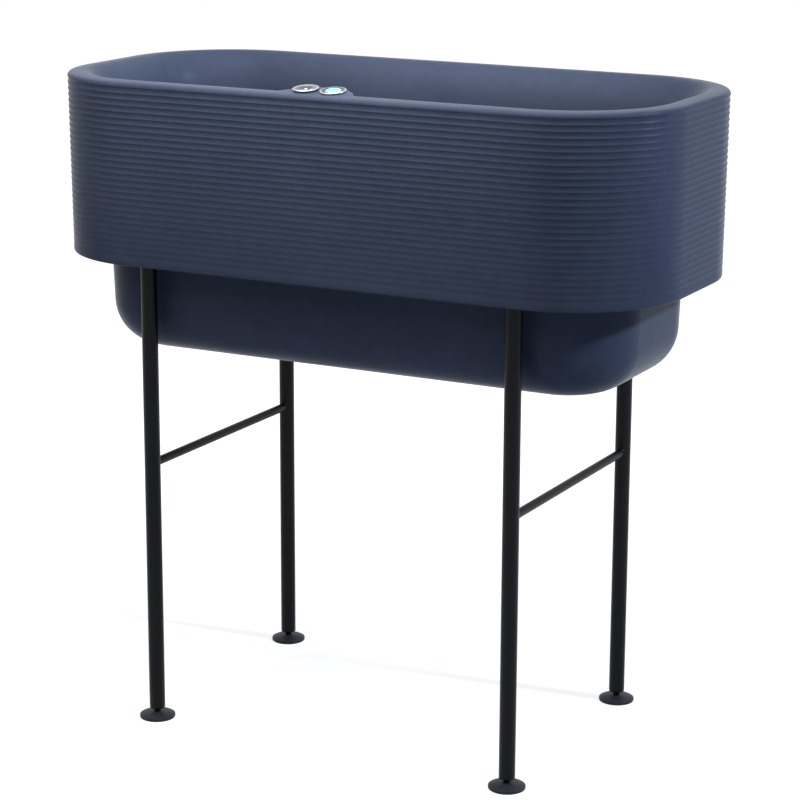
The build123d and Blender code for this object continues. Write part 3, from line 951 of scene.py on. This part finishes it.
for corner, (px, py) in zip(corners, screwPlaces):
    low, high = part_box(corner + "_plate")
    c = leg["plateCorner"]
    outline = []
    for cx, cy, start in ((high.x - c, high.y - c, 0), (low.x + c, high.y - c, 90),
                          (low.x + c, low.y + c, 180), (high.x - c, low.y + c, 270)):
        outline += arc((cx, cy), c, start, start + 90, 6)
    bm = bmesh.new()
    prism(bm, outline, lambda x, y, z: Vector((x, y, z)), low.z, high.z)
    rims = [e for e in bm.edges if abs(e.verts[0].co.z - e.verts[1].co.z) < 1e-7]
    bmesh.ops.bevel(bm, geom=rims, offset=leg["plateEdge"], segments=2, profile=0.5, affect="EDGES")
    plate = solid(bm, "plate")
    hole = pin(leg["boltHole"], low.z - 0.01, high.z + 0.01)
    cutter = solid(turned(bmesh.new(), hole, (px, py, 0), steps=32), "hole")
    newPiece(pieceName(corner, "plate"), carve(plate, ("DIFFERENCE", cutter)), [corner + "_plate"],
             "tub", "black_tube", 30)
print("legs, crossbars and plates")


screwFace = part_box("front_left_plate")[0].z
washerDrop = 0.0005  # the round face under a head ends this far below it
screw = {
    "Head Size": 0.013,
    "Head Height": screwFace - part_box("leg_screws")[0].z - washerDrop,
    "Shank Radius": 0.004,
    "Shank Length": 0.0148,
    "Thread Pitch": 0.00125,
}


def screwTree():  # one hex screw repeated at the given points
    tree, points, size, height, radius, length, pitch = newTree("plateScrews", screw)
    core = radius * 0.88  # at the foot of the thread
    head = lifted(tree, rod(tree, 6, size * 0.57735, height), height * -0.5)  # half over cos 30
    washer = lifted(tree, rod(tree, 32, size * 0.485, 0.0006), height * -1 - 0.0002)
    shank = lifted(tree, rod(tree, 20, core, length), length * 0.5)
    thread = ridges(tree, cone(tree, 20, core, radius, pitch * 0.5), length, pitch, 0.75)
    endTree(tree, onPoints(tree, points, joined(tree, head, washer, shank, thread)), "zinc")
    return tree


screws = grow(screwTree(), pointMesh([(x, y, screwFace) for x, y in screwPlaces]), screw)
newPiece("plate-screws", screws, ["leg_screws"], "tub", "zinc", 25)
print("screws")


# adjustable feet

foot = {
    "radius": 0.025,
    "edge": 0.0050,
    "lip": 0.0014,
    "top": 0.0090,
    "crown": 0.0115,
    "collar": 0.0078,
    "hollow": 0.0004,  # under the pad
    "socketMouth": 0.0058,
    "socket": 0.0053,
    "socketFloor": 0.0034,
}
stem = {"Radius": 0.005, "Length": 0.05, "Pitch": 0.0015, "Depth": 0.0006}  # its length is each one's own


def threadTree():  # ridges stacked along a stem
    tree, points, radius, length, pitch, depth = newTree("stemThread", stem)
    core = radius - depth
    shaft = lifted(tree, rod(tree, 28, core, length), length * 0.5)
    upper = cone(tree, 28, core, radius, pitch * 0.48)
    lower = tree.node("GeometryNodeTransform", None, {"Geometry": upper, "Rotation": (math.pi, 0, 0)})
    thread = ridges(tree, joined(tree, upper, lower), length, pitch, 0.6)
    endTree(tree, onPoints(tree, points, joined(tree, shaft, thread)), "black_tube")
    return tree


threadShape = threadTree()
for corner in corners:
    middle, (low, high) = middleOf(corner + "_foot_stem"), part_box(corner + "_foot_stem")
    place = pointMesh([(middle.x, middle.y, low.z)])
    mesh = grow(threadShape, place, {**stem, "Length": high.z - low.z})
    newPiece(pieceName(corner, "stem"), mesh, [corner + "_foot_stem"], corner + "_stem", "black_tube", 20)
    r, edge, lip, top, hollow = (foot[key] for key in ("radius", "edge", "lip", "top", "hollow"))
    profile = [(0, hollow), (r - 0.006, hollow), (r - 0.0055, 0.0)]
    profile += arc((r - lip, lip), lip, -90, 0, 5)
    profile += arc((r - lip, edge - lip), lip, 0, 75, 6)
    # the dome rises to a flat crown and a collar round the stem
    slopeStart = profile[-1]
    for k in range(1, 8):
        share = k / 7
        profile.append((slopeStart[0] + (foot["crown"] - slopeStart[0]) * share,
                        slopeStart[1] + (top - slopeStart[1]) * math.sin(share * math.pi / 2)))
    socket, socketFloor = foot["socket"], foot["socketFloor"]
    profile += [(foot["collar"], top), (foot["socketMouth"], top), (socket, top - 0.0004),
                (socket, socketFloor), (0, socketFloor)]
    turnedPiece(pieceName(corner, "foot"), profile, (middle.x, middle.y, 0), [corner + "_foot_pad"],
                corner + "_foot", "foot_plastic", 35, 64)
print("feet")


# push buttons on the deck

button = {
    "lift": {"left": 0.0020, "right": 0.0006},  # gasket thickness
    "barrelEnd": {"left": -0.0208, "right": -0.0220},
    "barrelRadius": 0.0135,
    "boreRadius": 0.01205,
    "threadPitch": 0.0015,
    "threadDepth": 0.0005,
    "threadTop": -0.0060,
    "capRadius": 0.0119,
    "capDepth": 0.0080,
    "leftCapRise": 0.0007,  # cap tops above their bezels' undersides
    "rightCapRise": 0.0016,
    "dish": 0.0014,
    "stud": 0.0021,
    "studRise": 0.0010,
    "lens": 0.0100,
    "lensRise": 0.0014,
    "gasketOuter": {"left": 0.0165, "right": 0.0164},
    "gasketInner": 0.0136,
    "nut": {"inner": 0.0136, "outer": 0.0157, "scallop": 0.0009, "scallops": 12, "steps": 144,
            "low": -0.0100, "high": -0.0050},
}


def threadLine(radius, depth, low, high, pitch):  # a thread's zigzag section, going up
    turns = int((high - low) / pitch)
    line = []
    for k in range(turns):
        line += [(radius, low + pitch * k), (radius - depth, low + pitch * (k + 0.5))]
    return line + [(radius, low + pitch * turns)]


def bezelProfile(side, face):
    end, lift, bore = button["barrelEnd"][side], button["lift"][side], button["boreRadius"]
    r = button["barrelRadius"]
    line = [(0, end), (r - 0.0005, end)]
    line += threadLine(r, button["threadDepth"], end + 0.0005, button["threadTop"], button["threadPitch"])
    line.append((r, lift))
    line += [(x, lift + h) for x, h in face]
    return line + [(bore, end + 0.0025), (0, end + 0.0025)]


# the bezels' faces above their gaskets, from the outer edge in to the bore
bezelFace = {
    "left": roundedLine([(0.0160, 0.0), (0.0172, 0.0), (0.0175, 0.0004), (0.0168, 0.0009), (0.0143, 0.0009),
                         (0.0122, 0.0003), (button["boreRadius"], -0.0002)],
                        [0.0003, 0.0002, 0.0006, 0.0012, 0.0002], 5),
    "right": roundedLine([(0.0165, 0.0), (0.0173, 0.0), (0.0176, 0.0008), (0.0172, 0.0018), (0.0160, 0.0018),
                          (0.0130, 0.0008), (button["boreRadius"], 0.0003)],
                         [0.0003, 0.0006, 0.0006, 0.0010, 0.0008], 5),
}
spin = upright.rotation_difference(deckUp).to_matrix()
for side, finish in (("left", "satin_metal"), ("right", "chrome_trim")):
    centre = onDeck(middleOf(side + "_button_cap").x, buttonLine, deck["sink"])
    lift = button["lift"][side]

    def sidePiece(name, profile, nodes, body, look, sharp=32, steps=72):
        turnedPiece(pieceName(side, name), profile, centre, nodes, body, look, sharp, steps, deckUp)

    sidePiece("bezel", bezelProfile(side, bezelFace[side]), [side + "_button_body"], "tub", finish)
    inner, outer = button["gasketInner"], button["gasketOuter"][side]
    line = [(inner, 0.00002), (outer - 0.0002, 0.00002), (outer, 0.0002), (outer, lift - 0.0002),
            (outer - 0.0002, lift), (inner, lift)]
    sidePiece("gasket", line, [side + "_button_gasket"], "tub", "black_rubber")

    nut = button["nut"]
    walls = []  # the scalloped outside, then the round inside
    for k in range(nut["steps"]):
        a = 2 * math.pi * k / nut["steps"]
        dent = nut["scallop"] * max(0.0, math.cos(nut["scallops"] * a)) ** 0.5
        walls.append([(r * math.cos(a), r * math.sin(a)) for r in (nut["outer"] - dent, nut["inner"])])
    bm = bmesh.new()
    rings = []
    for inside, height in ((0, nut["low"]), (0, nut["high"]), (1, nut["high"]), (1, nut["low"])):
        rings.append([bm.verts.new(centre + spin @ Vector((*pair[inside], height))) for pair in walls])
    skin(bm, rings, True)
    newPiece(pieceName(side, "nut"), meshFrom(bm, "nut"), [side + "_button_nut"], "tub", "black_plastic", 30)

    r, deep, nodes, body = button["capRadius"], button["capDepth"], [side + "_button_cap"], side + "_button"
    if side == "left":
        top, rim, dish = lift + button["leftCapRise"], r - 0.0011, button["dish"]
        bowl = (rim * rim + dish ** 2) / (2 * dish)
        line = []
        for k in range(13):
            x = rim * k / 12
            line.append((x, top - dish + bowl - math.sqrt(bowl * bowl - x * x)))
        line += arc((r - 0.0006, top - 0.0006), 0.0006, 100, 0, 5)
        sidePiece("cap", line + [(r, top - deep), (0, top - deep)], nodes, body, finish)
        base, s, rise = top - dish - 0.0002, button["stud"], button["studRise"]
        line = [(0, base - 0.0003), (s, base - 0.0003)]
        for k in range(8):
            a = math.radians(12 * k)
            line.append((s * math.cos(a), base + rise * math.sin(a)))
        sidePiece("cap-stud", line + [(0, base + rise)], [], body, finish, 50, 40)
    else:
        top, seat, rise = lift + button["rightCapRise"], button["lens"], button["lensRise"]
        line = [(0, top - 0.0016), (seat + 0.0001, top - 0.0016), (seat + 0.0001, top - 0.0002)]
        line += arc((seat + 0.0006, top - 0.0005), 0.0005, 150, 20, 5)
        line += [(r - 0.0002, top - 0.0023), (r, top - 0.0027), (r, top - deep), (0, top - deep)]
        sidePiece("cap", line, nodes, body, finish)
        line = [(0, top - 0.00155), (seat, top - 0.00155), (seat, top - 0.0006)]
        for k in range(11):
            a = math.radians(4 + 8 * k)
            line.append((seat * math.cos(a), top - 0.0005 + rise * math.sin(a)))
        sidePiece("lens", line + [(0, top - 0.0005 + rise)], ["right_button_lens"], body, "clear_lens", 50)
print("buttons")


# waste with its strainer and plug

drain = {
    "bore": 0.0180,
    "tail": 0.0200,
    "tailEnd": 0.4990,
    "spigot": 0.0070,
    "flange": 0.0340,
    "edge": 0.5216,  # top of the flange's outer edge
    "face": 0.5230,
    "faceRadii": (0.0315, 0.0245),
    "sunkFace": 0.5226,  # where the plug lies
    "sunkRadii": (0.0236, 0.0192),
    "mouth": 0.5214,
    "under": 0.5200,
    "threadCrest": 0.0210,
    "threadDepth": 0.0006,
    "threadTop": 0.5155,
    "pitch": 0.0015,
    "barWidth": 0.0030,
    "barLength": 0.0188,  # from the middle
    "barLow": 0.5060,
    "barHigh": 0.5090,
    "hub": 0.0045,
}
d, (wx, wy) = drain, waste["centre"]
bore, tail, end, under, flange = d["bore"], d["tail"], d["tailEnd"], d["under"], d["flange"]
shoulder, crest = end + d["spigot"], d["threadCrest"]
line = [(bore, end), (tail - 0.0006, end), (tail, end + 0.0006), (tail, shoulder)]
line += threadLine(crest, d["threadDepth"], shoulder + d["threadDepth"], d["threadTop"], d["pitch"])
line.append((crest, under))
upper = [(flange - 0.0015, under), (flange, under), (flange, d["edge"])]
upper += [(radius, d["face"]) for radius in d["faceRadii"]]
upper += [(radius, d["sunkFace"]) for radius in d["sunkRadii"]] + [(bore, d["mouth"])]
line += roundedLine(upper, [0.0004, 0.0008, 0.0016, 0.0004, 0.0003, 0.0006], 5)
bm = turned(bmesh.new(), line, (wx, wy, 0), steps=96)
low, high, hub, lead = d["barLow"], d["barHigh"], d["hub"], 0.0004
line = [(0, low), (hub - lead, low), (hub, low + lead), (hub, high - lead), (hub - lead, high), (0, high)]
turned(bm, line, (wx, wy, 0), steps=40)
half, long = d["barWidth"] / 2, d["barLength"]
for k in range(2):
    c, s = math.cos(k * math.pi / 2), math.sin(k * math.pi / 2)
    prism(bm, [(-long, -half), (long, -half), (long, half), (-long, half)],
          lambda x, y, z, c=c, s=s: Vector((wx + x * c - y * s, wy + x * s + y * c, z)),
          low + 0.0001, high - 0.0001)
newPiece("waste-flange", meshFrom(bm, "flange"), ["waste_flange"], "tub", "chrome_trim", 32)

plug = {"disc": 0.0230, "discHeight": 0.0030, "depth": 0.0120, "body": 0.0172, "knob": 0.0060, "neck": 0.0050}
low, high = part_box("waste_plug")
face = low.z + plug["depth"]
disc, knob = face + plug["discHeight"], plug["knob"]
line = roundedLine([
    (0, low.z), (plug["body"] - 0.0015, low.z), (plug["body"], low.z + 0.003), (plug["body"] + 0.0006, face),
    (plug["disc"], face), (plug["disc"], disc), (0.0070, disc + 0.0006), (plug["neck"], disc + 0.0050),
    (knob, high.z - 0.0035), (knob, high.z), (0, high.z)],
    [0.0008, 0.0010, 0.0004, 0.0005, 0.0009, 0.0022, 0.0020, 0.0010, 0.0016], 5)
turnedPiece("plug", line, (wx, wy, 0), ["waste_plug"], "plug", "plug_rubber", 35, 80)
print("waste and plug")


# camera, lamps and floor

view = {
    "place": (1.5992, -3.0217, 1.3162),
    "yaw": -0.4828,  # angles in radians
    "pitch": 0.2472,
    "roll": 0.0043,
    "lens": 114.57,
}
yaw, pitch, roll = view["yaw"], view["pitch"], view["roll"]
ahead = Vector((math.sin(yaw) * math.cos(pitch), math.cos(yaw) * math.cos(pitch), -math.sin(pitch)))
level = Vector((math.cos(yaw), -math.sin(yaw), 0))
above = level.cross(ahead)
right = level * math.cos(roll) + above * math.sin(roll)
up = above * math.cos(roll) - level * math.sin(roll)
camera = placed("camera", bpy.data.cameras.new("camera"))
camera.data.sensor_width = 36.0
camera.data.lens = view["lens"]
camera.data.clip_start, camera.data.clip_end = 0.05, 60.0
camera.matrix_world = Matrix((
    (right.x, up.x, -ahead.x, view["place"][0]),
    (right.y, up.y, -ahead.y, view["place"][1]),
    (right.z, up.z, -ahead.z, view["place"][2]),
    (0, 0, 0, 1)))
scene.camera = camera

lamps = {
    "overhead": {"place": (-0.5, -0.25, 2.1), "aim": (-0.3, -0.05, 0.8), "size": 1.4, "power": 4.0},
    "inner": {"place": (-0.04, -0.25, 1.42), "aim": (-0.1, 0.17, 0.82), "size": 0.8, "power": 7.8},
    "right": {"place": (2.35, 0.40, 1.95), "aim": (-0.2, 0.0, 0.8), "size": 0.22, "power": 46.0,
              "colour": (0.70, 0.84, 1.0)},
    "front": {"place": (-0.5, -2.6, 3.2), "aim": (0.0, 0.0, 0.7), "size": 2.0, "power": 24.5},
}
for name, lamp in lamps.items():
    light = bpy.data.lights.new(name, "AREA")
    light.shape, light.size, light.energy = "SQUARE", lamp["size"], lamp["power"]
    light.color = lamp.get("colour", (1, 1, 1))
    thing = placed(name, light)
    thing.location = lamp["place"]
    thing.rotation_mode = "QUATERNION"
    thing.rotation_quaternion = (Vector(lamp["aim"]) - Vector(lamp["place"])).to_track_quat("-Z", "Y")


surroundings = {
    "roomColour": (0.80, 0.84, 0.92),
    "roomStrength": 0.06,
    "floorColour": (0.62, 0.65, 0.70),
    "floorGlow": 0.80,  # by the tub, where the camera sees the floor; 1 is white
    "glowFade": (0.5, 1.6),  # from there the glow rises to white
}


def shine(tree, kind, strength, colour=(1, 1, 1)):
    return tree.node(kind, None, {"Color": (*colour, 1), "Strength": strength})


def mixShaders(tree, factor, first, second):
    return tree.node("ShaderNodeMixShader", None, {0: factor, 1: first, 2: second})


def seenDirectly(tree):  # 1 where the camera, a reflection or glass sees the surroundings
    camera, glossy, glass = (tree.node("ShaderNodeLightPath", out=f"Is {kind} Ray")
                             for kind in ("Camera", "Glossy", "Transmission"))
    return camera.join("MAXIMUM", camera, glossy.join("MAXIMUM", glossy, glass))


world = bpy.data.worlds.new("softRoom")
world.use_nodes = True
tree = Tree(world.node_tree)
room = shine(tree, "ShaderNodeBackground", surroundings["roomStrength"], surroundings["roomColour"])
white = shine(tree, "ShaderNodeBackground", 1.0)
tree.node("ShaderNodeOutputWorld", None, {"Surface": mixShaders(tree, seenDirectly(tree), room, white)})
scene.world = world

tree = newFinish("paleFloor")
plain = tree.node("ShaderNodeBsdfDiffuse", None,
                  {"Color": (*surroundings["floorColour"], 1), "Roughness": 0.6})
near = shine(tree, "ShaderNodeEmission", surroundings["floorGlow"])
far = shine(tree, "ShaderNodeEmission", 1.0)
reach = vectorMath(tree, "LENGTH", objectPlace(tree))
glow = mixShaders(tree, ramp(tree, reach, *surroundings["glowFade"]), near, far)
lit = tree.node("ShaderNodeAddShader", None, {0: plain, 1: glow})
tree.node("ShaderNodeOutputMaterial", None, {"Surface": mixShaders(tree, seenDirectly(tree), plain, lit)})
bm = bmesh.new()
bmesh.ops.create_grid(bm, x_segments=4, y_segments=4, size=9.0)
floorMesh = bpy.data.meshes.new("floor")
bm.to_mesh(floorMesh)
bm.free()
floorMesh.materials.append(tree.material)
floor = placed("floor", floorMesh)
scene.view_settings.view_transform = "Standard"
print("camera, lamps and floor")
